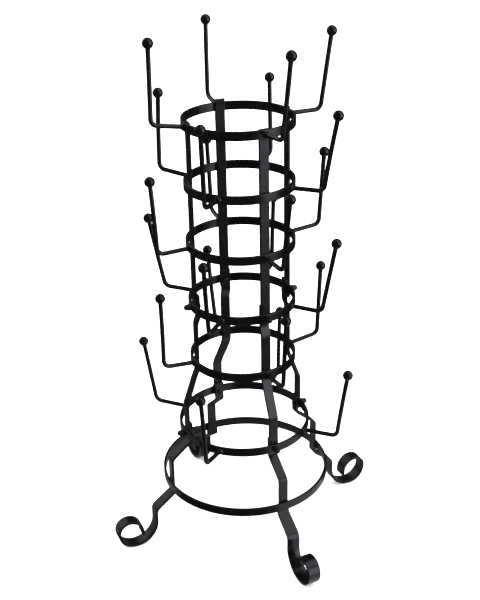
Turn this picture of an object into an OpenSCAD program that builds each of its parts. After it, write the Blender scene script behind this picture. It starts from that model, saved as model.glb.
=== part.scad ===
// Counter-top mug tree: a tower of flat-bar rings on four scroll feet, with 24 ball-ended rod hooks.
// Origin on the floor plane at the middle of the four feet. +Z is up, +X runs towards the right-hand upright.

/* [Flat bar] */
// Thickness of every flat bar
bar_t = 3; // [2.5:0.1:3.4]
// Width of the four standing bars
bar_w = 11; // [10:0.5:12]
// Height of the band that each ring is rolled from
band_h = 9.5; // [8.5:0.5:10.5]

/* [Rings] */
// Outer radius of the five cage rings
cage_r = 60; // [58:0.5:62]
// Outer radius of the waist ring, above the base
waist_r = 76; // [74:0.5:78]
// Outer radius of the base ring
base_r = 98; // [96:0.5:100]
// Height of the top ring's middle line
top_z = 495.5; // [484:0.5:504]
// Drop from each of the top three rings to the next
upper_pitch = 67; // [64:0.5:70]
// Drop between the lower three cage rings
lower_pitch = 69.5; // [67:0.5:72]
// Height of the waist ring's middle line
waist_z = 136; // [134.5:0.5:138.5]
// Height of the base ring's middle line
base_z = 71; // [69.5:0.5:73.5]

/* [Hooks] */
// Radius of the hook rod
rod_r = 2.5; // [2.2:0.1:2.8]
// Radius of the ball on each hook
ball_r = 5.7; // [5:0.1:6]
// Reach of a cage hook from its ring to the corner
cage_reach = 34; // [30:1:38]
// Reach of a waist hook from its ring to the corner
waist_reach = 38; // [34:1:40]
// Length of a stem from the corner to the middle of its ball
stem_len = 82; // [75:1:90]
// Middle-line radius of the bend at the corner
hook_bend_r = 7.5; // [5:0.5:9]

/* [Feet] */
// Distance from the middle of the tower to the drop of each foot
foot_r = 117; // [115:0.5:119]
// Width of each leg where it comes out under the base ring
flare_w = 14; // [12:0.5:14.5]
// Width of the flattened scroll at the end of each leg
scroll_w = 15; // [14.5:0.5:17]

/* [Screws] */
// Radius of the screw shank
shank_r = 2; // [1.5:0.1:2.2]
// Radius of the low screw head inside the ring
head_r = 3.6; // [3.4:0.1:4]
// Thickness of the screw head
head_t = 1.8; // [1.4:0.1:2.4]
// Width of the cap nut across its flats
nut_flats = 7; // [6.8:0.1:8]
// Height of the cap nut's hexagon
nut_t = 3.2; // [2.5:0.1:4]
// Radius of the cap nut's dome
dome_r = 3.3; // [3:0.1:3.4]

/* [Hidden] */
$fn = 48;
finish = "#1c1d20";
ring_count = 7;
level_count = 6;
side_count = 4;
lap_ring = 3;
waist_ring = 5;

// Where the standing bars sit round the tower, and the hooks halfway between them. The lower half of the
// tower is turned a little against the cage, so the legs sit at turns of their own.
bar_turns = [0, 89, 178.5, 275];
leg_turns = [4, 94.5, 181.5, 275];
gap_turns = [45.5, 136, 226.5, 315];
bar_sides = ["right", "back", "left", "front"];
gap_sides = ["back_right", "back_left", "front_left", "front_right"];

// Rise of every arm, outward lean of every stem and roll of every hook about its arm, in degrees, with one
// row for each level from the top. The rods are bent and welded by hand, so no two hooks are quite the same.
arm_rises = [
    [0, 5, 9, 4],
    [9, 8, 5, 1],
    [6, 5, -3, -1],
    [3, 1, -1, -2],
    [10, 8, 2, 2],
    [2, 1, 11, 1]
];
stem_leans = [
    [9, 5, -1, 3],
    [8, 0, 5, 10],
    [5, 6, 3, 9],
    [5, 12, 8, 10],
    [5, 11, -1, 3],
    [5, 7, 4, 8]
];
hook_rolls = [
    [-1, 2, 0, -5],
    [-4, 4, -1, 0],
    [-2, 0, 0, -1],
    [0, 0, -1, -2],
    [-5, -1, 4, -1],
    [0, -4, 1, 0]
];

third_z = top_z - 2 * upper_pitch;
fifth_z = third_z - 2 * lower_pitch;
ring_zs = [top_z, top_z - upper_pitch, third_z, third_z - lower_pitch, fifth_z, waist_z, base_z];
ring_rs = [cage_r, cage_r, cage_r, cage_r, cage_r, waist_r, base_r];

function on_bars(level) = level % 2 == 0;
function hook_turn(level, side) = on_bars(level) ? bar_turns[side] : gap_turns[side];
function hook_side(level, side) = on_bars(level) ? bar_sides[side] : gap_sides[side];
function hook_name(level, side) = str("hook_", level + 1, "_", hook_side(level, side));

// Middle line of a flat bar whose two outer edges rest on a ring's inside face
function seat_r(ring_r) = sqrt(pow(ring_r - bar_t, 2) - pow(bar_w / 2, 2)) - bar_t / 2;
cage_seat = seat_r(cage_r);
waist_seat = seat_r(waist_r);
base_seat = seat_r(base_r);

// How far each upright stands above the top ring: two stop level with it
upright_rises = [4, 4, 0, 0];

// Heights where the standing bars end, lap and bend
upright_foot = ring_zs[lap_ring] - 8;
cage_lap_top = ring_zs[lap_ring] + 14;
joggle_top = ring_zs[lap_ring] - 13;
joggle_foot = joggle_top - 8;
waist_bend_top = fifth_z - 8;
splay_top = waist_bend_top + 1.5;
waist_bend_foot = fifth_z - 48;
middle_foot = waist_z - band_h / 2;
waist_lap_top = waist_z + 12;
base_bend_top = waist_z - 10.5;
base_bend_foot = waist_z - 31.5;
foot_bend_top = base_z - 10.5;
foot_bend_foot = base_z - 28.5;

// Length of the straight part of a cap nut's dome, and how far a screw runs into its nut
dome_len = 1.5;
grip = 4.5;

// The scroll is four arcs, each starting where the last one stops, and a short straight tip
arc_step = 10;
drop_arc_r = 26.5;
rise_arc_r = 20;
crown_arc_r = 13;
curl_arc_r = 15.5;
curl_turn = 85;
tip_len = 6.5;
scroll_x = foot_r + drop_arc_r;
crown_x = scroll_x + rise_arc_r - crown_arc_r;
low_z = bar_t / 2;
rise_z = low_z + rise_arc_r;
curl_z = rise_z + crown_arc_r - curl_arc_r;
curl_centre = [crown_x, curl_z];
curl_end = 90 + curl_turn;
flare_top = base_z + 2;
flare_foot = base_z - band_h / 2;

function arc(centre, r, from, to) = let (count = round(abs(to - from) / arc_step))
    [for (i = [1:count]) let (a = from + (to - from) * i / count) centre + r * [cos(a), sin(a)]];

function upright_path(side) =
    [[cage_seat, upright_foot], [cage_seat, top_z + band_h / 2 + upright_rises[side]]];
middle_top_path = [
    [cage_seat - bar_t, cage_lap_top],
    [cage_seat - bar_t, joggle_top],
    [cage_seat, joggle_foot],
    [cage_seat, splay_top]
];
splay_path = [
    [cage_seat, splay_top + 1],
    [cage_seat, waist_bend_top],
    [waist_seat, waist_bend_foot],
    [waist_seat, middle_foot]
];
leg_path = concat(
    [
        [waist_seat - bar_t, waist_lap_top],
        [waist_seat - bar_t, base_bend_top],
        [base_seat, base_bend_foot],
        [base_seat, foot_bend_top],
        [foot_r, foot_bend_foot],
        [foot_r, low_z + drop_arc_r]
    ],
    arc([scroll_x, low_z + drop_arc_r], drop_arc_r, 180, 270),
    arc([scroll_x, rise_z], rise_arc_r, -90, 0),
    arc([crown_x, rise_z], crown_arc_r, 0, 90),
    arc(curl_centre, curl_arc_r, 90, curl_end),
    [curl_centre + curl_arc_r * [cos(curl_end), sin(curl_end)] + tip_len * [-sin(curl_end), cos(curl_end)]]
);

// One side of a strip that follows a path: every corner moved off the path along its mitre
function unit(v) = v / norm(v);
function left_of(v) = [-v[1], v[0]];
function heading(path, i) = unit(path[min(i + 1, len(path) - 1)] - path[min(i, len(path) - 2)]);
function mitre(before, after, off) =
    let (m = unit(left_of(before) + left_of(after))) m * off / (m * left_of(after));
function side_of(path, off) =
    [for (i = [0:len(path) - 1]) path[i] + mitre(heading(path, max(i - 1, 0)), heading(path, i), off)];
function reversed(list) = [for (i = [len(list) - 1:-1:0]) list[i]];

// A flat bar that follows a path in the upright plane through the +X axis
module flat_bar(path, width) {
    rotate([90, 0, 0])
        linear_extrude(height = width, center = true)
            polygon(concat(side_of(path, bar_t / 2), reversed(side_of(path, -bar_t / 2))));
}

// Where screws cross one of the two screwed rings
function screw_turns(ring) = ring == lap_ring ? bar_turns : leg_turns;

// A hole through everything on the +X side at one ring's height
module screw_hole(ring) {
    clearance = 0.15;
    translate([cage_r / 2, 0, ring_zs[ring]])
        rotate([0, 90, 0])
            cylinder(r = shank_r + clearance, h = cage_r);
}

module ring(i) {
    color(finish)
        difference() {
            translate([0, 0, ring_zs[i] - band_h / 2])
                difference() {
                    cylinder(r = ring_rs[i], h = band_h, $fn = 120);
                    translate([0, 0, -1])
                        cylinder(r = ring_rs[i] - bar_t, h = band_h + 2, $fn = 120);
                }
            if (i == lap_ring || i == waist_ring)
                for (turn = screw_turns(i))
                    rotate([0, 0, turn]) screw_hole(i);
        }
}

module upright(side) {
    color(finish)
        rotate([0, 0, bar_turns[side]])
            difference() {
                flat_bar(upright_path(side), bar_w);
                screw_hole(lap_ring);
            }
}

// A middle bar hangs straight down the cage, then leans out and sideways to meet its leg at the waist
module middle_bar(side) {
    half = bar_w / 2;
    shift = cage_seat * sin(bar_turns[side] - leg_turns[side]);
    color(finish) {
        rotate([0, 0, bar_turns[side]])
            difference() {
                flat_bar(middle_top_path, bar_w);
                screw_hole(lap_ring);
            }
        rotate([0, 0, leg_turns[side]])
            difference() {
                intersection() {
                    flat_bar(splay_path, 3 * bar_w);
                    rotate([90, 0, 90])
                        linear_extrude(height = 2 * waist_r)
                            polygon([
                                [shift - half, splay_top + 1], [shift - half, waist_bend_top],
                                [-half, waist_bend_foot], [-half, middle_foot],
                                [half, middle_foot], [half, waist_bend_foot],
                                [shift + half, waist_bend_top], [shift + half, splay_top + 1]
                            ]);
                }
                screw_hole(waist_ring);
            }
    }
}

// A leg keeps the bar's width down to the base ring, and spreads behind it to nearly the width of the scroll
module leg(side) {
    half_bar = bar_w / 2;
    half_flare = flare_w / 2;
    half_scroll = scroll_w / 2;
    color(finish)
        rotate([0, 0, leg_turns[side]])
            difference() {
                intersection() {
                    flat_bar(leg_path, scroll_w + 2);
                    rotate([90, 0, 90])
                        linear_extrude(height = 2 * base_r)
                            polygon([
                                [-half_bar, waist_lap_top + 1], [-half_bar, flare_top],
                                [-half_flare, flare_foot], [-half_scroll, foot_bend_foot],
                                [-half_scroll, -1], [half_scroll, -1],
                                [half_scroll, foot_bend_foot], [half_flare, flare_foot],
                                [half_bar, flare_top], [half_bar, waist_lap_top + 1]
                            ]);
                }
                screw_hole(waist_ring);
            }
}

// Puts its children on a ring's outside face at one hook, with +X along the rising arm
module at_arm(level, side) {
    rotate([0, 0, hook_turn(level, side)])
        translate([ring_rs[level], 0, ring_zs[level]])
            rotate([0, -arm_rises[level][side], 0])
                rotate([hook_rolls[level][side], 0, 0])
                    children();
}

// Puts its children at the corner of a hook, with +Z along the leaning stem
module at_stem(level, side) {
    reach = level == waist_ring ? waist_reach : cage_reach;
    at_arm(level, side)
        translate([reach, 0, 0])
            rotate([0, arm_rises[level][side] + stem_leans[level][side], 0])
                children();
}

// A rod that swells slightly where it is bent, so each straight part runs a little way into the bend
module hook(level, side) {
    reach = level == waist_ring ? waist_reach : cage_reach;
    turn = 90 - arm_rises[level][side] - stem_leans[level][side];
    tangent = hook_bend_r * tan(turn / 2);
    ball_seat = sqrt(pow(ball_r, 2) - pow(rod_r, 2));
    swell = 0.05;
    run_in = 0.4;
    color(finish) {
        at_arm(level, side) {
            rotate([0, 90, 0])
                cylinder(r = rod_r, h = reach - tangent + run_in);
            translate([reach - tangent, 0, hook_bend_r])
                rotate([90, 0, 0])
                    rotate([0, 0, -90])
                        rotate_extrude(angle = turn)
                            translate([hook_bend_r, 0])
                                circle(r = rod_r + swell);
        }
        at_stem(level, side)
            translate([0, 0, tangent - run_in])
                cylinder(r = rod_r, h = stem_len - tangent - ball_seat + run_in);
    }
}

// The balls of one level, each with a flat where it meets the end of its rod
module ball_tips(level) {
    ball_seat = sqrt(pow(ball_r, 2) - pow(rod_r, 2));
    color(finish)
        for (side = [0:side_count - 1])
            at_stem(level, side)
                translate([0, 0, stem_len])
                    difference() {
                        sphere(r = ball_r);
                        translate([0, 0, -2 * ball_r])
                            cylinder(r = ball_r, h = 2 * ball_r - ball_seat);
                    }
}

// Low-headed screws that stand in from the inside, through two lapped bars and the ring
module screws(ring, seat) {
    head_face = seat - 3 * bar_t / 2;
    color(finish)
        for (turn = screw_turns(ring))
            rotate([0, 0, turn])
                translate([head_face - head_t, 0, ring_zs[ring]])
                    rotate([0, 90, 0]) {
                        cylinder(r = head_r, h = head_t);
                        translate([0, 0, head_t / 2])
                            cylinder(r = shank_r, h = head_t / 2 + ring_rs[ring] - head_face + grip);
                    }
}

// Domed cap nuts that close the screws on the outside of a ring
module cap_nuts(ring) {
    thread_gap = 0.05;
    color(finish)
        for (turn = screw_turns(ring))
            rotate([0, 0, turn])
                translate([ring_rs[ring], 0, ring_zs[ring]])
                    rotate([0, 90, 0])
                        difference() {
                            union() {
                                cylinder(r = nut_flats / sqrt(3), h = nut_t, $fn = 6);
                                translate([0, 0, nut_t / 2])
                                    cylinder(r = dome_r, h = nut_t / 2 + dome_len);
                                translate([0, 0, nut_t + dome_len])
                                    intersection() {
                                        sphere(r = dome_r);
                                        cylinder(r = dome_r + 1, h = dome_r + 1);
                                    }
                            }
                            translate([0, 0, -1])
                                cylinder(r = shank_r + thread_gap, h = grip + 1.4);
                        }
}

for (i = [0:ring_count - 1])
    ring(i);
for (side = [0:side_count - 1]) {
    upright(side);
    middle_bar(side);
    leg(side);
}
for (level = [0:level_count - 1], side = [0:side_count - 1])
    hook(level, side);
for (level = [0:level_count - 1])
    ball_tips(level);
screws(lap_ring, cage_seat);  // cage_screws
screws(waist_ring, waist_seat);  // waist_screws
cap_nuts(lap_ring);  // cage_nuts
cap_nuts(waist_ring);  // waist_nuts
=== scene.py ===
"""Looks of a counter-top mug tree: black powder-coated flat bar, rod hooks with balls, and scroll feet.

Every piece is built in millimetres in the part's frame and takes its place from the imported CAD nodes.
"""

import math

import bmesh
import bpy
import numpy as np
from mathutils import Matrix, Vector


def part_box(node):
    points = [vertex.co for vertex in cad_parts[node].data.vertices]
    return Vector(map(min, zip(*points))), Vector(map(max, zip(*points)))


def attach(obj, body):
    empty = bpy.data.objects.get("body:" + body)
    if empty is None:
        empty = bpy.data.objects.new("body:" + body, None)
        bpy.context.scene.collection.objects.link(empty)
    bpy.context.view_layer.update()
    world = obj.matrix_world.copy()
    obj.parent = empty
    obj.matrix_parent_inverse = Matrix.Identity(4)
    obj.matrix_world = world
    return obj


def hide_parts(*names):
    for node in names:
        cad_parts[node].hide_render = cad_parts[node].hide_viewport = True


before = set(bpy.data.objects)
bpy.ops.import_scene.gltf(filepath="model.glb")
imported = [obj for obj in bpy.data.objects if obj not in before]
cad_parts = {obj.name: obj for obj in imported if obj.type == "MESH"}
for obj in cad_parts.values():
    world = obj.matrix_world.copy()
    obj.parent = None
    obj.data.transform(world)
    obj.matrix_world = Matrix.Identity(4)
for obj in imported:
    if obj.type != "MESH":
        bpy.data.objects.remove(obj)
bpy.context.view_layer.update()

MM = 0.001

SIDES = ("right", "back", "left", "front")
CORNERS = ("back_right", "back_left", "front_left", "front_right")
RING_COUNT = 7
LEVEL_COUNT = 6
SCREWED_RINGS = {"cage": 4, "waist": 6}
UPRIGHT_WELDS = (1, 2, 3)
MIDDLE_WELDS = (5,)
LEG_WELDS = (7,)

# Flat bar, in millimetres: its rounded edges and ends, and the bends of its middle line
EDGE_R = 0.5
EDGE_STEPS = 4
END_R = 0.45
END_SHARES = (0.0, 0.1, 0.3, 0.6, 1.0)
MIDDLE_BENDS = (4.5, 4.5, 4.5, 4.5)
LEG_BENDS = (4.5, 5.5, 4.5, 9.0)

# Where the middle bars and legs bend, in millimetres below the middle of the ring named
LAP_UNDER_4, STEP_UNDER_4 = 13, 21
SPLAY_UNDER_5, SPLAY_FOOT_UNDER_5 = 8, 48
LAP_UNDER_6, SPLAY_FOOT_UNDER_6 = 10.5, 31.5
SPLAY_UNDER_7, SPLAY_FOOT_UNDER_7 = 10.5, 28.5

# What hand work leaves in the bars and rings, in millimetres, and how far from a bar's end it starts
WIDTH_WANDER, SWAY, WAVE = 0.09, 0.10, 0.07
HELD_END = 12
OUT_OF_ROUND, RING_LOBES, RING_INSET = 0.16, 0.07, 0.12
OUT_OF_LEVEL, RING_RIPPLE = 0.10, 0.05

# Welds of the bars to the rings, in millimetres
WELD_LEG = 2.0
WELD_PITCH = 1.5
WELD_HALF = 3.3
WELD_FADE = 0.9

# Steps along the bars and rods, in millimetres, and how far from a weld they stay short
COARSE_STEP = 3.0
FINE_STEP = 0.55
FINE_REACH = 6.0
ROD_STEP = 0.4
ROD_END_STEP = 0.35
ROD_END_REACH = 4.5
RING_STEP = 2.2

# Scroll feet, in millimetres: four arcs, each starting where the last one stops, and a straight tip
DROP_ARC_R = 26.5
RISE_ARC_R = 20.0
CROWN_ARC_R = 13.0
CURL_ARC_R = 15.5
CURL_TURN = 85.0
TIP_LEN = 6.5

# A leg widens by this share behind the base ring and by the rest below it, at heights from its middle
FLARE_SHARE = 0.75
FLARE_TOP, FLARE_WAIST, FLARE_FOOT = 3, -5, -28

# Hooks, in millimetres
ROD_R = 2.5
ROD_SIDES = 28
ROD_BURIED = 0.7
ELBOW_R = 7.5
ROOT_WELD = 1.5
ROOT_WELD_LEN = 1.15
NECK_WELD = 0.15
NECK_WELD_LEN = 1.1
NECK_BURIED = 0.6
ROD_BOW = 0.35
RUB_START, RUB_END = (4, 14), (58, 42)
BALL_R = 5.7
BALL_SIDES = 40

# Screws with low heads inside the rings and cap nuts outside them, in millimetres
HEAD_R = 3.6
HEAD_T = 1.8
SOCKET_FLATS = 2.5
SOCKET_DEPTH = 1.1
SHANK_R = 2.0
THREAD_PITCH = 0.7
SOCKET_CONE = 0.35
HEAD_RIM = 0.35
THREAD_DEPTH = 0.28
THREAD_START = 1.0
SCREW_TIP_LEN, SCREW_TIP_DEPTH = 0.3, 0.6
CHAMFER = 0.12
CENTRE_R = 0.05
GRIP = 4.5
NUT_FLATS = 7.0
NUT_T = 3.2
BORE_PLAY = 0.05
BORE_SPARE = 0.4
BORE_MOUTH = 0.35
DOME_R = 3.3
DOME_SIDE = 1.5
SCREW_SIDES = 72

# Colours of the coats and the floor, and the least and most roughness of the coats
COAT_DARK, COAT_PALE = (0.0010, 0.0009, 0.0009), (0.0018, 0.0016, 0.0016)
COAT_SPECK, COAT_WORN = (0.006, 0.006, 0.006), (0.008, 0.008, 0.0085)
SCREW_DARK, SCREW_PALE = (0.0016, 0.0016, 0.0016), (0.0034, 0.0034, 0.0035)
FLOOR_DARK, FLOOR_PALE = (0.86, 0.86, 0.86), (0.88, 0.88, 0.88)
COAT_ROUGHNESS = (0.19, 0.26)
BALL_ROUGHNESS = (0.13, 0.18)
SCREW_ROUGHNESS = (0.24, 0.34)

# Half the side of the floor, in metres
FLOOR_HALF = 7.0

# Camera: how far its right is turned from +X, its place in metres, its angles in degrees, and its lens
VIEW_TURN = 21.73
CAMERA_AWAY, CAMERA_HEIGHT = 1.0742, 0.8055
CAMERA_YAW, CAMERA_PITCH, CAMERA_ROLL = -0.11, -25.67, -1.22
CAMERA_LENS, CAMERA_SENSOR = 64.08, 36

# Lights, in degrees, metres and watts. Azimuth 0 is the camera's right and 90 is away from it
# Softboxes, which light surfaces: name, azimuth, elevation, distance, size, power
SOFTBOXES = (
    ("overhead", 60, 78, 2.2, 1.8, 30),
    ("key_right", -20, 34, 2.4, 1.3, 12),
)
AIM_HEIGHT = 0.25

# Light of the surround on surfaces, and light and tint of the dark room that reflections see
EVEN_GLOW = 2.6
ROOM_GLOW = 0.03
GLOW_TINT = (0.86, 0.88, 1.0)

# Panels that reflections see: azimuth, elevation, angle of full light, angle where it ends, strength
PANELS = (
    (-25, 6, 17, 35, 2.1),
    (-6, 61, 12, 34, 1.3),
    (133, 22, 12, 36, 0.75),
)

# Lit patches of floor that reflections see: azimuth and distance of the middle, radius, strength,
# and how far above the floor they lie
FLOOR_PATCHES = (
    (-27, 0.216, 0.14, 0.6),
    (72, 0.06, 0.13, 0.2),
    (155, 0.19, 0.12, 0.1),
    (173, 0.235, 0.08, 0.3),
)
PATCH_LIFT = 0.0005


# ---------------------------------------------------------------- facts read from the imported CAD


def box_mm(node):
    """Lowest corner, highest corner and middle of a CAD node, in millimetres."""
    low, high = (np.array(corner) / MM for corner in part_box(node))
    return low, high, (low + high) / 2


def mesh_mm(node):
    """Corners of a CAD node's mesh, in millimetres."""
    points = np.array([v.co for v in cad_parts[node].data.vertices]) / MM
    return np.unique(points.round(3), axis=0)


def ring_facts(i):
    """Outer radius and middle height of ring i."""
    low, high, middle = box_mm(f"ring_{i}")
    return max(high[0] - low[0], high[1] - low[1]) / 2, middle[2]


def seat_in(i):
    """Radius of the middle line of a flat bar that rests against the inside of ring i."""
    radius, _ = ring_facts(i)
    return math.sqrt((radius - BAR_T) ** 2 - (BAR_W / 2) ** 2) - BAR_T / 2


def turn_of(point):
    """Turn round the tower of a point, in degrees."""
    return math.degrees(math.atan2(point[1], point[0]))


def bar_turn(side):
    """Turn of an upright, from the middle of its box."""
    _, _, middle = box_mm(f"upright_{side}")
    return turn_of(middle)


def leg_turn(side):
    """Turn of a leg, from the lowest line across its scroll."""
    points = mesh_mm(f"leg_{side}")
    skim = 0.4
    return turn_of(points[points[:, 2] < points[:, 2].min() + skim].mean(0))


upright_low, upright_high, _ = box_mm("upright_right")
BAR_T = upright_high[0] - upright_low[0]
BAR_W = upright_high[1] - upright_low[1]
CAGE_SEAT, WAIST_SEAT, BASE_SEAT = seat_in(4), seat_in(6), seat_in(7)


# ---------------------------------------------------------------- numbers and curves


def smooth(x, start, end):
    """0 before start, 1 after end, and an eased slope between. It also works with start above end."""
    t = np.clip((np.asarray(x, float) - start) / (end - start), 0, 1)
    return t * t * (3 - 2 * t)


def wander(x, seed):
    """A smooth irregular curve between about -1 and 1: what hand work leaves in a straight bar."""
    rng = np.random.default_rng(seed)
    lengths = (19, 37, 71)
    total = np.zeros_like(np.asarray(x, float))
    for length in lengths:
        total += np.sin(2 * np.pi * np.asarray(x) / length + rng.uniform(0, 2 * np.pi))
    return total / len(lengths)


def arc(centre, radius, start, end):
    """Points on an arc in a plane, angles in degrees, without its first point."""
    step = 5
    count = max(2, round(abs(end - start) / step))
    turns = np.radians(np.linspace(start, end, count + 1)[1:])
    return [np.array(centre) + radius * np.array([np.cos(t), np.sin(t)]) for t in turns]


def eased(corners, radii):
    """A polyline with each inner corner replaced by an arc of its own radius, in 2 or 3 dimensions."""
    nearly_straight, longest_cut, step = math.radians(89.5), 0.48, 7
    corners = [np.array(c, float) for c in corners]
    points = [corners[0]]
    for before, corner, after, radius in zip(corners, corners[1:], corners[2:], radii):
        back, ahead = before - corner, after - corner
        back_len, ahead_len = np.linalg.norm(back), np.linalg.norm(ahead)
        back, ahead = back / back_len, ahead / ahead_len
        half = math.acos(np.clip(back @ ahead, -1, 1)) / 2
        if half > nearly_straight:
            points.append(corner)
            continue
        cut = min(radius / math.tan(half), longest_cut * back_len, longest_cut * ahead_len)
        bend_r = cut * math.tan(half)
        inward = (back + ahead) / np.linalg.norm(back + ahead)
        centre = corner + inward * bend_r / math.sin(half)
        start = corner + back * cut - centre
        side = -inward * bend_r
        across = start - (start @ inward) * inward
        across = across / np.linalg.norm(across) * bend_r
        sweep = math.pi / 2 - half
        count = max(3, round(math.degrees(2 * sweep) / step))
        for turn in np.linspace(sweep, -sweep, count + 1):
            points.append(centre + side * math.cos(turn) + across * math.sin(turn))
    points.append(corners[-1])
    return points


def lengths_along(points):
    """Length along a polyline at each of its points."""
    return np.concatenate([[0], np.cumsum(np.linalg.norm(np.diff(points, axis=0), axis=1))])


def place_on(points, stations):
    """Places and headings at the given lengths along a polyline."""
    points = np.array(points)
    run = lengths_along(points)
    places = np.stack([np.interp(stations, run, column) for column in points.T], axis=1)
    reach = 0.35
    ahead = np.stack([np.interp(stations + reach, run, column) for column in points.T], axis=1)
    behind = np.stack([np.interp(stations - reach, run, column) for column in points.T], axis=1)
    headings = ahead - behind
    return places, headings / np.linalg.norm(headings, axis=1)[:, None]


def steps_along(run, finest, close_step, is_close):
    """Lengths from 0 to past the end of a run: short steps where is_close, and its own gaps elsewhere."""
    gaps = np.diff(run)
    stations = [0.0]
    while stations[-1] < run[-1]:
        here = stations[-1]
        part = min(np.searchsorted(run, here + 1e-6, side="right") - 1, len(gaps) - 1)
        step = close_step if is_close(here) else min(COARSE_STEP, max(gaps[part], finest))
        stations.append(here + step)
    return stations


def bar_stations(points, welds):
    """Lengths at which to cut a flat bar: close together in its bends, welds and rounded ends."""
    run = lengths_along(np.array(points))
    total, clear = run[-1], 0.2

    def at_weld(here):
        return any(abs(here - weld) < FINE_REACH for weld in welds)

    stations = steps_along(run, FINE_STEP, FINE_STEP, at_weld)
    inner = [at for at in stations if END_R + clear < at < total - END_R - clear]
    near = [share * END_R for share in END_SHARES]
    far = [total - at for at in reversed(near)]
    return np.array(near + inner + far)


def rod_stations(points):
    """Lengths at which to cut a rod: close together in its bend and near its ends."""
    run = lengths_along(np.array(points))
    total = run[-1]

    def near_end(here):
        return here < ROD_END_REACH or here > total - ROD_END_REACH

    stations = steps_along(run, ROD_STEP, ROD_END_STEP, near_end)
    stations[-1] = total
    return np.array(stations)


# ---------------------------------------------------------------- mesh building


def skin(loops, closed=False):
    """Vertices and faces of a skin through loops of points. Open ends are closed with flat caps."""
    loops = np.asarray(loops, float)
    count, around = loops.shape[:2]
    faces = []
    for i in range(count if closed else count - 1):
        here, there = i * around, (i + 1) % count * around
        for j in range(around):
            k = (j + 1) % around
            faces.append((here + j, there + j, there + k, here + k))
    if not closed:
        faces.append(tuple(range(around)))
        faces.append(tuple(reversed(range((count - 1) * around, count * around))))
    return loops.reshape(-1, 3), faces


def piece(name, skins, node, material, sharp_deg=50, marks=None):
    """One object made of closed skins. It takes the place of a CAD node, which it hides, and wears the
    material given.
    """
    vertices, faces, start = [], [], 0
    for points, polygons in skins:
        vertices.append(points)
        faces += [tuple(start + i for i in polygon) for polygon in polygons]
        start += len(points)
    mesh = bpy.data.meshes.new(name)
    mesh.from_pydata((np.concatenate(vertices) * MM).tolist(), [], faces)
    mesh.validate()
    mesh.polygons.foreach_set("use_smooth", [True] * len(mesh.polygons))
    mesh.set_sharp_from_angle(angle=math.radians(sharp_deg))
    values = np.concatenate(marks) if marks else np.zeros(len(mesh.vertices))
    layer = mesh.attributes.new("rub", "FLOAT", "POINT")
    layer.data.foreach_set("value", values.astype(np.float32))
    mesh.materials.append(material)
    made = bpy.data.objects.new(name, mesh)
    bpy.context.scene.collection.objects.link(made)
    face_outwards(mesh)
    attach(made, "root")
    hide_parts(node)


def face_outwards(mesh):
    """Turns every face of a mesh outwards."""
    work = bmesh.new()
    work.from_mesh(mesh)
    bmesh.ops.recalc_face_normals(work, faces=work.faces)
    work.to_mesh(mesh)
    work.free()


# ---------------------------------------------------------------- flat bars


def bar_section(width, thick):
    """Outline of a flat bar's section as (across, through) pairs, with its four edges rounded."""
    closest = 0.45
    wide, deep = width / 2 - EDGE_R, thick / 2 - EDGE_R
    outline = []
    corners = ((0, wide, deep), (90, -wide, deep), (180, -wide, -deep), (270, wide, -deep))
    for i, (turn, across, through) in enumerate(corners):
        for step in range(EDGE_STEPS + 1):
            angle = math.radians(turn + 90 * step / EDGE_STEPS)
            outline.append((across + EDGE_R * math.cos(angle), through + EDGE_R * math.sin(angle)))
        start = np.array(outline[-1])
        turned = math.radians(turn + 90)
        _, next_across, next_through = corners[(i + 1) % 4]
        rounding = EDGE_R * math.cos(turned), EDGE_R * math.sin(turned)
        end = np.array([next_across + rounding[0], next_through + rounding[1]])
        span = np.linalg.norm(end - start)
        near = min(closest, span / 4)
        for share in (near / span, 0.33, 0.67, 1 - near / span):
            outline.append(tuple(start + (end - start) * share))
    return np.array(outline)


def weld_swell(run, spots, seed):
    """How far the welds stand out at each length along a bar, as a share of their leg, with ripples."""
    rng = np.random.default_rng(seed)
    total = np.zeros_like(run)
    for spot in spots:
        half = WELD_HALF + rng.uniform(-0.5, 0.3)
        off = spot + rng.uniform(-0.4, 0.4)
        hump = smooth(np.abs(run - off), half + WELD_FADE, half - WELD_FADE)
        ripple = 0.84 + 0.16 * np.abs(np.sin(np.pi * (run - off) / WELD_PITCH + rng.uniform(0, 3)))
        total = np.maximum(total, hump * ripple)
    return total


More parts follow.
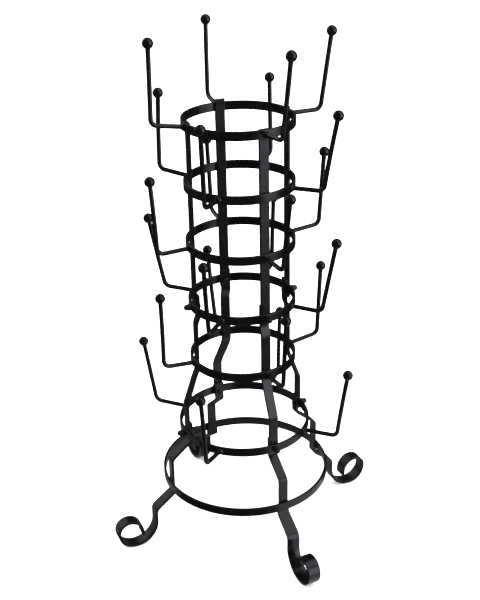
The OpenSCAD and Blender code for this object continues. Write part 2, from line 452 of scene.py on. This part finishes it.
def flat_bar(path, turn_at, width_at, seed, welds):
    """Skin of a flat bar that follows a path of (radius, height) points, from its top end to its foot.

    turn_at gives the turn round the tower in degrees at a height, and width_at the width there. It
    comes with a mark for each of its points, which says how much that point is rubbed.
    """
    stations = bar_stations(path, welds)
    places, headings = place_on(path, stations)
    ends = np.minimum(stations, stations[-1] - stations)
    drawn = END_R - np.sqrt(END_R**2 - np.clip(END_R - ends, 0, END_R) ** 2)
    section = bar_section(BAR_W, BAR_T)
    side_share = section[:, 0] / (BAR_W / 2)
    through_share = section[:, 1] / (BAR_T / 2)
    rim = np.abs(section[:, 0]) > BAR_W / 2 - EDGE_R * 1.01
    lean_out = (through_share / 2 + 0.5) ** 1.2
    up = np.array([0, 0, 1])
    held = smooth(ends, 0, HELD_END)
    extra = WIDTH_WANDER * wander(stations, seed + 1)
    sway = SWAY * wander(stations, seed + 2) * held
    wave = WAVE * wander(stations, seed + 3) * held
    swells = [weld_swell(stations, welds, seed + 5 + k) for k in range(2)]
    loops = []
    rubs = []
    for i, ((radius, height), heading) in enumerate(zip(places, headings)):
        turn = math.radians(turn_at(height))
        out = np.array([math.cos(turn), math.sin(turn), 0])
        side = np.array([-math.sin(turn), math.cos(turn), 0])
        face_out = up * heading[0] - out * heading[1]
        half_width = (width_at(height) + extra[i]) / 2 - drawn[i]
        across = side_share * half_width
        through = through_share * (BAR_T / 2 - drawn[i])
        for k, sign in enumerate((1, -1)):
            on_side = rim & (np.sign(section[:, 0]) == sign)
            across = across + sign * on_side * swells[k][i] * WELD_LEG * lean_out
        centre = out * radius + up * height
        loops.append(centre + np.outer(across + sway[i], side) + np.outer(through + wave[i], face_out))
        rubs.append(smooth(np.abs(side_share), 0.9, 1.0) * 0.5)
    return skin(np.array(loops)), np.array(rubs).ravel()


def spots_on(path, rings):
    """Lengths along a bar's path at which it crosses the middles of some rings."""
    run = lengths_along(np.array(path))
    heights = np.array(path)[:, 1]
    return [float(np.interp(-ring_facts(i)[1], -heights, run)) for i in rings]


def build_ring(i):
    """A hoop of flat bar on edge, very slightly out of round and out of level."""
    radius, height = ring_facts(i)
    low, high, _ = box_mm(f"ring_{i}")
    band_h = high[2] - low[2]
    section = bar_section(band_h, BAR_T)
    count = round(2 * math.pi * radius / RING_STEP)
    turns = np.linspace(0, 2 * math.pi, count, endpoint=False)
    rng = np.random.default_rng(70 + i)
    phases = rng.uniform(0, 2 * math.pi, 5)
    loops = []
    rubs = []
    for t in turns:
        out = np.array([math.cos(t), math.sin(t), 0])
        oval = OUT_OF_ROUND * math.sin(2 * t + phases[0])
        off_round = oval + RING_LOBES * math.sin(7 * t + phases[1]) - RING_INSET
        level = OUT_OF_LEVEL * math.sin(t + phases[2]) + RING_RIPPLE * math.sin(5 * t + phases[3])
        tall = 1 + 0.006 * math.sin(9 * t + phases[4])
        middle = radius - BAR_T / 2 + off_round
        loops.append(
            np.outer(middle + section[:, 1], out)
            + np.outer(height + level + section[:, 0] * tall, np.array([0, 0, 1]))
        )
        rubs.append(smooth(np.abs(section[:, 0]) / band_h * 2, 0.88, 1.0) * 0.5)
    piece(f"ring_{i}_band", [skin(loops, closed=True)], f"ring_{i}", COAT,
          marks=[np.array(rubs).ravel()])


def always(value):
    """A function of height that gives the same value everywhere."""
    return lambda height: value


def build_upright(n, side):
    """A straight bar from the top ring down to ring 4."""
    low, high, middle = box_mm(f"upright_{side}")
    seat = math.hypot(middle[0], middle[1])
    path = [(seat, high[2]), (seat, low[2])]
    welds = spots_on(path, UPRIGHT_WELDS)
    body, rubs = flat_bar(path, always(bar_turn(side)), always(BAR_W), 100 + 10 * n, welds)
    piece(f"upright_{side}_bar", [body], f"upright_{side}", COAT, marks=[rubs])


def build_middle_bar(n, side):
    """Lapped behind the upright at ring 4, it steps out, passes ring 5 and splays to the waist ring.

    Over the splay it also turns from its upright's place round the tower to its leg's.
    """
    low, high, _ = box_mm(f"middle_bar_{side}")
    _, fourth_z = ring_facts(4)
    _, fifth_z = ring_facts(5)
    splay_top, splay_foot = fifth_z - SPLAY_UNDER_5, fifth_z - SPLAY_FOOT_UNDER_5
    corners = [
        (CAGE_SEAT - BAR_T, high[2]),
        (CAGE_SEAT - BAR_T, fourth_z - LAP_UNDER_4),
        (CAGE_SEAT, fourth_z - STEP_UNDER_4),
        (CAGE_SEAT, splay_top),
        (WAIST_SEAT, splay_foot),
        (WAIST_SEAT, low[2]),
    ]
    path = eased(corners, MIDDLE_BENDS)
    from_turn, to_turn = bar_turn(side), leg_turn(side)
    to_turn = from_turn + (to_turn - from_turn + 180) % 360 - 180

    def turn_at(height):
        return from_turn + (to_turn - from_turn) * float(smooth(height, splay_top, splay_foot))

    welds = spots_on(path, MIDDLE_WELDS)
    body, rubs = flat_bar(path, turn_at, always(BAR_W), 200 + 10 * n, welds)
    piece(f"middle_bar_{side}_bar", [body], f"middle_bar_{side}", COAT, marks=[rubs])


def scroll_path(foot_r):
    """The arcs of a foot, from the end of its drop to the straight tip inside the curl."""
    floor = BAR_T / 2
    scroll_x = foot_r + DROP_ARC_R
    crown_x = scroll_x + RISE_ARC_R - CROWN_ARC_R
    rise_z = floor + RISE_ARC_R
    curl_z = rise_z + CROWN_ARC_R - CURL_ARC_R
    end = math.radians(90 + CURL_TURN)
    curl = arc((crown_x, curl_z), CURL_ARC_R, 90, 90 + CURL_TURN)
    tip = curl[-1] + TIP_LEN * np.array([-math.sin(end), math.cos(end)])
    return (
        arc((scroll_x, floor + DROP_ARC_R), DROP_ARC_R, 180, 270)
        + arc((scroll_x, rise_z), RISE_ARC_R, -90, 0)
        + arc((crown_x, rise_z), CROWN_ARC_R, 0, 90)
        + curl
        + [tip]
    )


def build_leg(n, side):
    """Lapped behind the middle bar at the waist ring, it splays to the base ring and to its foot."""
    points = mesh_mm(f"leg_{side}")
    turn = leg_turn(side)
    t = math.radians(turn)
    outwards = points[:, 0] * math.cos(t) + points[:, 1] * math.sin(t)
    sideways = points[:, 1] * math.cos(t) - points[:, 0] * math.sin(t)
    foot_r = outwards.max() - BAR_T / 2 - RISE_ARC_R - DROP_ARC_R
    scroll_w = sideways.max() - sideways.min()
    _, waist_z = ring_facts(6)
    _, base_z = ring_facts(7)
    corners = [
        (WAIST_SEAT - BAR_T, points[:, 2].max()),
        (WAIST_SEAT - BAR_T, waist_z - LAP_UNDER_6),
        (BASE_SEAT, waist_z - SPLAY_FOOT_UNDER_6),
        (BASE_SEAT, base_z - SPLAY_UNDER_7),
        (foot_r, base_z - SPLAY_FOOT_UNDER_7),
        (foot_r, BAR_T / 2 + DROP_ARC_R),
    ]
    straight = eased(corners, LEG_BENDS)
    path = straight + scroll_path(foot_r)

    def width_at(height):
        above = height - base_z
        behind_ring = FLARE_SHARE * smooth(above, FLARE_TOP, FLARE_WAIST)
        below_ring = (1 - FLARE_SHARE) * smooth(above, FLARE_WAIST, FLARE_FOOT)
        return BAR_W + (scroll_w - BAR_W) * float(behind_ring + below_ring)

    welds = spots_on(straight, LEG_WELDS)
    body, rubs = flat_bar(path, always(turn), width_at, 300 + 10 * n, welds)
    piece(f"leg_{side}_bar", [body], f"leg_{side}", COAT, marks=[rubs])


# ---------------------------------------------------------------- hooks and balls


def flat_end(points):
    """Middle of a round end face and the direction that it faces along."""
    middle = points.mean(0)
    _, _, axes = np.linalg.svd(points - middle)
    return middle, axes[2]


def hook_line(node):
    """Where a CAD hook leaves its ring, the corner of its rod, and the top end of its stem."""
    points = mesh_mm(node)
    skim = 1.4
    reach = np.hypot(points[:, 0], points[:, 1])
    root, arm = flat_end(points[reach < reach.min() + skim])
    top, stem = flat_end(points[points[:, 2] > points[:, 2].max() - skim])
    across = np.cross(arm, stem)
    corner = root + arm * (np.cross(top - root, stem) @ across) / (across @ across)
    return root, corner, top


def rod(points, radius_at, across):
    """Skin of a round rod along a path, with the lengths and turns of its points.

    radius_at gives the radius all round at a length, from that length, the whole length and the turns.
    """
    stations = rod_stations(points)
    total = stations[-1]
    places, headings = place_on(points, stations)
    turns = np.linspace(0, 2 * math.pi, ROD_SIDES, endpoint=False)
    loops = []
    for at, place, heading in zip(stations, places, headings):
        over = np.cross(heading, across)
        over = over / np.linalg.norm(over)
        flat = np.cross(over, heading)
        radii = radius_at(at, total, turns)
        loops.append(
            place + np.outer(radii * np.cos(turns), over) + np.outer(radii * np.sin(turns), flat)
        )
    return skin(loops), stations, turns


def build_hook(n, node):
    """A rod that leaves its ring, turns up and ends in a ball. Gives the ball's middle and axis."""
    root, corner, top = hook_line(node)
    arm = (corner - root) / np.linalg.norm(corner - root)
    stem = (top - corner) / np.linalg.norm(top - corner)
    across = np.cross(arm, stem)
    across = across / np.linalg.norm(across)
    rng = np.random.default_rng(500 + n)
    bow, side_bow = rng.uniform(-ROD_BOW, ROD_BOW, 2)
    lumps = rng.uniform(0, 2 * math.pi, 4)
    seat = math.sqrt(BALL_R**2 - ROD_R**2)
    path = eased([root - arm * ROD_BURIED, corner, top + stem * NECK_BURIED], (ELBOW_R,))
    last = path.pop()
    start = path[-1]
    for s in np.linspace(0, 1, 9)[1:]:
        bowed = (arm * bow + across * side_bow) * math.sin(math.pi * s)
        path.append(start + (last - start) * s + bowed)

    def radius_at(run, total, turns):
        lump = 1 + 0.16 * np.sin(3 * turns + lumps[0]) + 0.10 * np.sin(5 * turns + lumps[1])
        ripple = 1 + 0.06 * np.abs(np.sin(4.5 * turns + lumps[2]))
        from_ring = max(run - ROD_BURIED, 0)
        to_ball = max(total - NECK_BURIED - run, 0)
        root_weld = ROOT_WELD * math.exp(-((from_ring / ROOT_WELD_LEN) ** 1.6)) * lump * ripple
        neck = NECK_WELD * math.exp(-((to_ball / NECK_WELD_LEN) ** 1.5)) * (0.9 + 0.1 * lump)
        grain = 0.03 * math.sin(run / 5.3 + lumps[3])
        return ROD_R + grain + root_weld + neck

    body, stations, turns = rod(path, radius_at, across)
    rub_run = smooth(stations, *RUB_START) * smooth(stations, *RUB_END)
    rub = np.outer(rub_run, 0.5 + 0.5 * np.cos(turns)) * 0.9
    piece(f"{node}_rod", [body], node, COAT, marks=[rub.ravel()])
    return top + stem * seat, stem


def ball(place, axis, seed):
    """A forged ball with its smallest circle buried in the neck weld, very slightly out of round."""
    rng = np.random.default_rng(seed)
    phases = rng.uniform(0, 2 * math.pi, 2)
    side = np.cross(axis, (1, 0, 0))
    side = side / np.linalg.norm(side)
    other = np.cross(axis, side)
    turns = np.linspace(0, 2 * math.pi, BALL_SIDES, endpoint=False)
    start = math.degrees(math.asin(ROD_R * 0.8 / BALL_R))
    loops = []
    for latitude in np.linspace(180 - start, 2.5, 27):
        angle = math.radians(latitude)
        along, radius = BALL_R * math.cos(angle), BALL_R * math.sin(angle)
        oval = 0.006 * np.sin(2 * turns + phases[0])
        lobes = 0.004 * np.sin(3 * turns + phases[1] + along)
        radii = radius * (1 + oval + lobes)
        loops.append(
            place + axis * along
            + np.outer(radii * np.cos(turns), side) + np.outer(radii * np.sin(turns), other)
        )
    return skin(loops)


def build_level(level):
    """The four hooks of a level and their balls, in line with the bars or halfway between them."""
    places = SIDES if level % 2 else CORNERS
    balls = []
    for n, place in enumerate(places):
        centre, axis = build_hook(10 * level + n, f"hook_{level}_{place}")
        balls.append(ball(centre, axis, 900 + 10 * level + n))
    piece(f"ball_tips_{level}_balls", balls, f"ball_tips_{level}", BALL_COAT)


# ---------------------------------------------------------------- screws and nuts


def hexagon(flats, turns, turned):
    """Radius of a hexagon at each turn, from its width across the flats."""
    within = (np.degrees(turns) + turned) % 60
    return flats / 2 / np.cos(np.radians(within - 30))


def turned_shape(rows, place, axis):
    """Closed skin along an axis. rows holds (along, radii), with one radius or one for each turn."""
    up = np.array([0, 0, 1.0])
    side = np.cross(up, axis)
    turns = np.linspace(0, 2 * math.pi, SCREW_SIDES, endpoint=False)
    return skin([
        np.array(place) + axis * along
        + np.outer(radii * np.cos(turns), side) + np.outer(radii * np.sin(turns), up)
        for along, radii in rows
    ])


def screw_rows(length, turned):
    """A low rounded head with a hexagon socket, and a threaded shank, from the socket's floor on."""
    turns = np.linspace(0, 2 * math.pi, SCREW_SIDES, endpoint=False)
    socket = hexagon(SOCKET_FLATS, turns, turned)
    rows = [
        (SOCKET_DEPTH + SOCKET_CONE, CENTRE_R),
        (SOCKET_DEPTH, socket * 0.97),
        (CHAMFER, socket),
        (0.0, socket + CHAMFER),
    ]
    flat = HEAD_R * 0.55
    for turn in np.radians(np.linspace(0, 90, 9)):
        depth = (HEAD_T - HEAD_RIM) * (1 - math.cos(turn))
        rows.append((depth, flat + (HEAD_R - flat) * math.sin(turn)))
    rows += [(HEAD_T - CHAMFER, HEAD_R), (HEAD_T, HEAD_R - CHAMFER), (HEAD_T, SHANK_R)]
    along = HEAD_T + THREAD_START
    while along < length - 1.2 * THREAD_PITCH:
        rows += [(along, SHANK_R - THREAD_DEPTH), (along + THREAD_PITCH / 2, SHANK_R)]
        along += THREAD_PITCH
    return rows + [(length - SCREW_TIP_LEN, SHANK_R - THREAD_DEPTH), (length, SHANK_R - SCREW_TIP_DEPTH)]


def cap_nut_rows(turned):
    """A chamfered hexagon under a round dome, with a blind bore, from the bore's end to the crown."""
    turns = np.linspace(0, 2 * math.pi, SCREW_SIDES, endpoint=False)
    outline = hexagon(NUT_FLATS, turns, turned)
    flat = NUT_FLATS / 2
    bore = SHANK_R + BORE_PLAY
    bore_end = GRIP + BORE_SPARE
    chamfers = ((0.0, 0.97), (0.12, 1.03), (0.28, 1.10), (0.5, 1.2))
    rows = [(bore_end, CENTRE_R), (bore_end, bore), (BORE_MOUTH, bore), (0.0, bore + BORE_MOUTH)]
    rows += [(depth, np.minimum(outline, flat * share)) for depth, share in chamfers]
    rows += [(NUT_T - depth, np.minimum(outline, flat * share)) for depth, share in reversed(chamfers)]
    rows += [(NUT_T + 0.05, DOME_R + CHAMFER), (NUT_T + 0.3, DOME_R)]
    for turn in np.linspace(0, 88, 13):
        angle = math.radians(turn)
        rows.append((NUT_T + DOME_SIDE + DOME_R * math.sin(angle), DOME_R * math.cos(angle)))
    return rows


def build_fasteners(kind):
    """The four screws of one ring and the cap nuts on them."""
    ring_r, height = ring_facts(SCREWED_RINGS[kind])
    head_face = seat_in(SCREWED_RINGS[kind]) - 1.5 * BAR_T - HEAD_T
    turn_at = bar_turn if kind == "cage" else leg_turn
    rng = np.random.default_rng(40 + SCREWED_RINGS[kind])
    screws, nuts = [], []
    for side in SIDES:
        turn = math.radians(turn_at(side))
        out = np.array([math.cos(turn), math.sin(turn), 0])
        level = np.array([0, 0, height])
        rows = screw_rows(ring_r + GRIP - head_face, rng.uniform(0, 60))
        screws.append(turned_shape(rows, out * head_face + level, out))
        nuts.append(turned_shape(cap_nut_rows(rng.uniform(0, 60)), out * ring_r + level, out))
    piece(f"{kind}_screws_set", screws, f"{kind}_screws", SCREW, sharp_deg=32)
    piece(f"{kind}_nuts_set", nuts, f"{kind}_nuts", SCREW, sharp_deg=32)


# ---------------------------------------------------------------- materials


def new_material(name):
    """A material with its nodes, its links and its shader."""
    material = bpy.data.materials.new(name)
    material.use_nodes = True
    nodes = material.node_tree.nodes
    return material, nodes, material.node_tree.links, nodes["Principled BSDF"]


def noise(nodes, links, coords, scale, detail, rough=0.5):
    """A noise texture that is fixed to the part, with its scale in features to the metre."""
    texture = nodes.new("ShaderNodeTexNoise")
    texture.inputs["Scale"].default_value = scale
    texture.inputs["Detail"].default_value = detail
    texture.inputs["Roughness"].default_value = rough
    links.new(coords.outputs["Object"], texture.inputs["Vector"])
    return texture.outputs["Fac"]


def spread(nodes, links, value, low, high, to_low, to_high):
    """Maps a value's range to another range."""
    node = nodes.new("ShaderNodeMapRange")
    node.inputs["From Min"].default_value = low
    node.inputs["From Max"].default_value = high
    node.inputs["To Min"].default_value = to_low
    node.inputs["To Max"].default_value = to_high
    links.new(value, node.inputs["Value"])
    return node.outputs["Result"]


def combine(nodes, links, operation, first, second):
    """One operation on two values, each a number or another node's output."""
    node = nodes.new("ShaderNodeMath")
    node.operation = operation
    for socket, value in zip(node.inputs, (first, second)):
        if isinstance(value, (int, float)):
            socket.default_value = value
        else:
            links.new(value, socket)
    return node.outputs["Value"]


def blend_colours(nodes, links, share, first, second):
    """A mix of two colours, each fixed or another node's output, by a share of the second."""
    node = nodes.new("ShaderNodeMix")
    node.data_type = "RGBA"
    for socket, value in ((node.inputs["A"], first), (node.inputs["B"], second)):
        if isinstance(value, tuple):
            socket.default_value = (*value, 1)
        else:
            links.new(value, socket)
    links.new(share, node.inputs["Factor"])
    return node.outputs["Result"]


def bumped(nodes, links, layers, shader):
    """Stacks bump layers, each (height, depth in metres), onto a shader."""
    normal = None
    for height, depth in layers:
        node = nodes.new("ShaderNodeBump")
        node.inputs["Distance"].default_value = depth
        links.new(height, node.inputs["Height"])
        if normal:
            links.new(normal, node.inputs["Normal"])
        normal = node.outputs["Normal"]
    links.new(normal, shader.inputs["Normal"])


def powder_coat(name, roughness):
    """Satin black powder coat: fine orange peel, faint patches of sheen, and rubbed where mugs hang."""
    material, nodes, links, shader = new_material(name)
    coords = nodes.new("ShaderNodeTexCoord")
    rub = nodes.new("ShaderNodeAttribute")
    rub.attribute_name = "rub"
    patches = noise(nodes, links, coords, 45, 3)
    specks = noise(nodes, links, coords, 900, 2, 0.6)
    peel = noise(nodes, links, coords, 620, 3, 0.55)
    ripples = noise(nodes, links, coords, 130, 2)
    chafed = spread(nodes, links, noise(nodes, links, coords, 160, 4, 0.65), 0.42, 0.68, 0, 1)
    worn = combine(nodes, links, "MULTIPLY", rub.outputs["Fac"], chafed)
    pale_share = spread(nodes, links, patches, 0.3, 0.7, 0, 1)
    speck_share = spread(nodes, links, specks, 0.62, 0.78, 0, 0.5)
    worn_share = combine(nodes, links, "MULTIPLY", worn, 0.6)
    tone = blend_colours(nodes, links, pale_share, COAT_DARK, COAT_PALE)
    dusted = blend_colours(nodes, links, speck_share, tone, COAT_SPECK)
    colour = blend_colours(nodes, links, worn_share, dusted, COAT_WORN)
    links.new(colour, shader.inputs["Base Color"])
    rough = spread(nodes, links, patches, 0.3, 0.7, *roughness)
    rough = combine(nodes, links, "SUBTRACT", rough, combine(nodes, links, "MULTIPLY", worn, 0.08))
    links.new(rough, shader.inputs["Roughness"])
    shader.inputs["Specular IOR Level"].default_value = 0.5
    bumped(nodes, links, [(ripples, 0.00012), (peel, 0.00006)], shader)
    return material


def screw_finish():
    """Black-coated steel of the screws and nuts: duller than the bars, with fine scuffs."""
    material, nodes, links, shader = new_material("screw_black")
    coords = nodes.new("ShaderNodeTexCoord")
    patches = noise(nodes, links, coords, 210, 4, 0.6)
    scuffs = noise(nodes, links, coords, 1500, 2)
    pale_share = spread(nodes, links, patches, 0.35, 0.7, 0, 1)
    tone = blend_colours(nodes, links, pale_share, SCREW_DARK, SCREW_PALE)
    links.new(tone, shader.inputs["Base Color"])
    links.new(spread(nodes, links, patches, 0.3, 0.7, *SCREW_ROUGHNESS), shader.inputs["Roughness"])
    shader.inputs["Specular IOR Level"].default_value = 0.45
    bumped(nodes, links, [(scuffs, 0.00003)], shader)
    return material


def floor_finish():
    """A plain pale matt floor with the faintest mottling."""
    material, nodes, links, shader = new_material("floor_pale")
    coords = nodes.new("ShaderNodeTexCoord")
    mottle = noise(nodes, links, coords, 3, 2)
    tone = blend_colours(nodes, links, mottle, FLOOR_DARK, FLOOR_PALE)
    links.new(tone, shader.inputs["Base Color"])
    shader.inputs["Roughness"].default_value = 0.9
    shader.inputs["Specular IOR Level"].default_value = 0.1
    return material


# ---------------------------------------------------------------- stage, lights and camera


def make_floor():
    """A wide flat floor under the feet."""
    mesh = bpy.data.meshes.new("floor")
    half = FLOOR_HALF
    corners = [(-half, -half, 0), (half, -half, 0), (half, half, 0), (-half, half, 0)]
    mesh.from_pydata(corners, [], [(0, 1, 2, 3)])
    mesh.materials.append(floor_finish())
    floor = bpy.data.objects.new("floor", mesh)
    bpy.context.scene.collection.objects.link(floor)
    floor.visible_glossy = False


def direction(azimuth, elevation):
    """Unit vector in the part's frame. Azimuth 0 is the camera's right and 90 is away from it."""
    a, e = math.radians(azimuth - VIEW_TURN), math.radians(elevation)
    return Vector((math.cos(a) * math.cos(e), math.sin(a) * math.cos(e), math.sin(e)))


def softbox(name, azimuth, elevation, distance, size, power):
    """A square area light aimed at the tower. It lights surfaces but isn't itself mirrored in them."""
    light = bpy.data.lights.new(name, "AREA")
    light.shape = "SQUARE"
    light.size = size
    light.energy = power
    off = direction(azimuth, elevation)
    lamp = bpy.data.objects.new(name, light)
    lamp.location = Vector((0, 0, AIM_HEIGHT)) + off * distance
    lamp.rotation_mode = "QUATERNION"
    lamp.rotation_quaternion = (-off).to_track_quat("-Z", "Y")
    lamp.visible_glossy = False
    bpy.context.scene.collection.objects.link(lamp)


def make_lights():
    """The softboxes, and the lit patches of floor."""
    for box in SOFTBOXES:
        softbox(*box)
    for patch in FLOOR_PATCHES:
        floor_glow(*patch)


def floor_glow(azimuth, off, radius, strength):
    """A lit patch of floor near the feet. Only reflections see it."""
    light = bpy.data.lights.new("floor_glow", "AREA")
    light.shape = "DISK"
    light.size = 2 * radius
    light.energy = strength * 4 * math.pi * radius**2
    light.color = GLOW_TINT
    lamp = bpy.data.objects.new("floor_glow", light)
    lamp.location = direction(azimuth, 0) * off + Vector((0, 0, PATCH_LIFT))
    lamp.rotation_euler = (math.pi, 0, 0)
    lamp.visible_camera = False
    lamp.visible_diffuse = False
    bpy.context.scene.collection.objects.link(lamp)


def panel_glow(nodes, links, coords, azimuth, elevation, full, fade, strength):
    """Light of one panel at each direction: full inside one angle, and none beyond a wider one."""
    dot = nodes.new("ShaderNodeVectorMath")
    dot.operation = "DOT_PRODUCT"
    dot.inputs[1].default_value = direction(azimuth, elevation)
    links.new(coords.outputs["Generated"], dot.inputs[0])
    edge = nodes.new("ShaderNodeMapRange")
    edge.interpolation_type = "SMOOTHSTEP"
    edge.inputs["From Min"].default_value = math.cos(math.radians(fade))
    edge.inputs["From Max"].default_value = math.cos(math.radians(full))
    edge.inputs["To Max"].default_value = strength
    links.new(dot.outputs["Value"], edge.inputs["Value"])
    return edge.outputs["Result"]


def make_world():
    """An even white surround for the floor. Reflections see a dark room with a few soft bright panels."""
    world = bpy.data.worlds.new("studio")
    bpy.context.scene.world = world
    world.use_nodes = True
    nodes, links = world.node_tree.nodes, world.node_tree.links
    coords = nodes.new("ShaderNodeTexCoord")
    glow = ROOM_GLOW
    for panel in PANELS:
        glow = combine(nodes, links, "ADD", panel_glow(nodes, links, coords, *panel), glow)
    ray = nodes.new("ShaderNodeLightPath")
    glossy = ray.outputs["Is Glossy Ray"]
    even = combine(nodes, links, "MULTIPLY", combine(nodes, links, "SUBTRACT", 1.0, glossy), EVEN_GLOW)
    strength = combine(nodes, links, "ADD", even, combine(nodes, links, "MULTIPLY", glossy, glow))
    links.new(strength, nodes["Background"].inputs["Strength"])
    tint = blend_colours(nodes, links, glossy, (1.0, 1.0, 1.0), GLOW_TINT)
    links.new(tint, nodes["Background"].inputs["Color"])


def make_camera():
    """A camera in front of the tower, with its right turned from +X by VIEW_TURN, that looks down."""
    turn = math.radians(VIEW_TURN)
    camera_data = bpy.data.cameras.new("camera")
    camera_data.sensor_width = CAMERA_SENSOR
    camera_data.lens = CAMERA_LENS
    camera = bpy.data.objects.new("camera", camera_data)
    across, away = -CAMERA_AWAY * math.sin(turn), -CAMERA_AWAY * math.cos(turn)
    camera.location = Vector((across, away, CAMERA_HEIGHT))
    yaw, pitch, roll = (math.radians(angle) for angle in (CAMERA_YAW, CAMERA_PITCH, CAMERA_ROLL))
    forward = Vector((math.sin(yaw) * math.cos(pitch), math.cos(yaw) * math.cos(pitch), math.sin(pitch)))
    level = Vector((math.cos(yaw), -math.sin(yaw), 0))
    over = level.cross(forward)
    right = level * math.cos(roll) + over * math.sin(roll)
    upward = over * math.cos(roll) - level * math.sin(roll)
    columns = []
    for axis in (right, upward, -forward):
        columns.append(Vector((
            axis.x * math.cos(turn) + axis.y * math.sin(turn),
            -axis.x * math.sin(turn) + axis.y * math.cos(turn),
            axis.z,
        )))
    camera.rotation_mode = "QUATERNION"
    camera.rotation_quaternion = Matrix(columns).transposed().to_quaternion()
    bpy.context.scene.collection.objects.link(camera)
    bpy.context.scene.camera = camera


# ---------------------------------------------------------------- the scene


COAT = powder_coat("powder_coat_black", COAT_ROUGHNESS)
BALL_COAT = powder_coat("powder_coat_ball", BALL_ROUGHNESS)
SCREW = screw_finish()
for i in range(1, RING_COUNT + 1):
    build_ring(i)
for n, side in enumerate(SIDES):
    build_upright(n, side)
    build_middle_bar(n, side)
    build_leg(n, side)
for level in range(1, LEVEL_COUNT + 1):
    build_level(level)
for kind in SCREWED_RINGS:
    build_fasteners(kind)
make_floor()
make_world()
make_lights()
make_camera()
bpy.context.scene.view_settings.view_transform = "Standard"
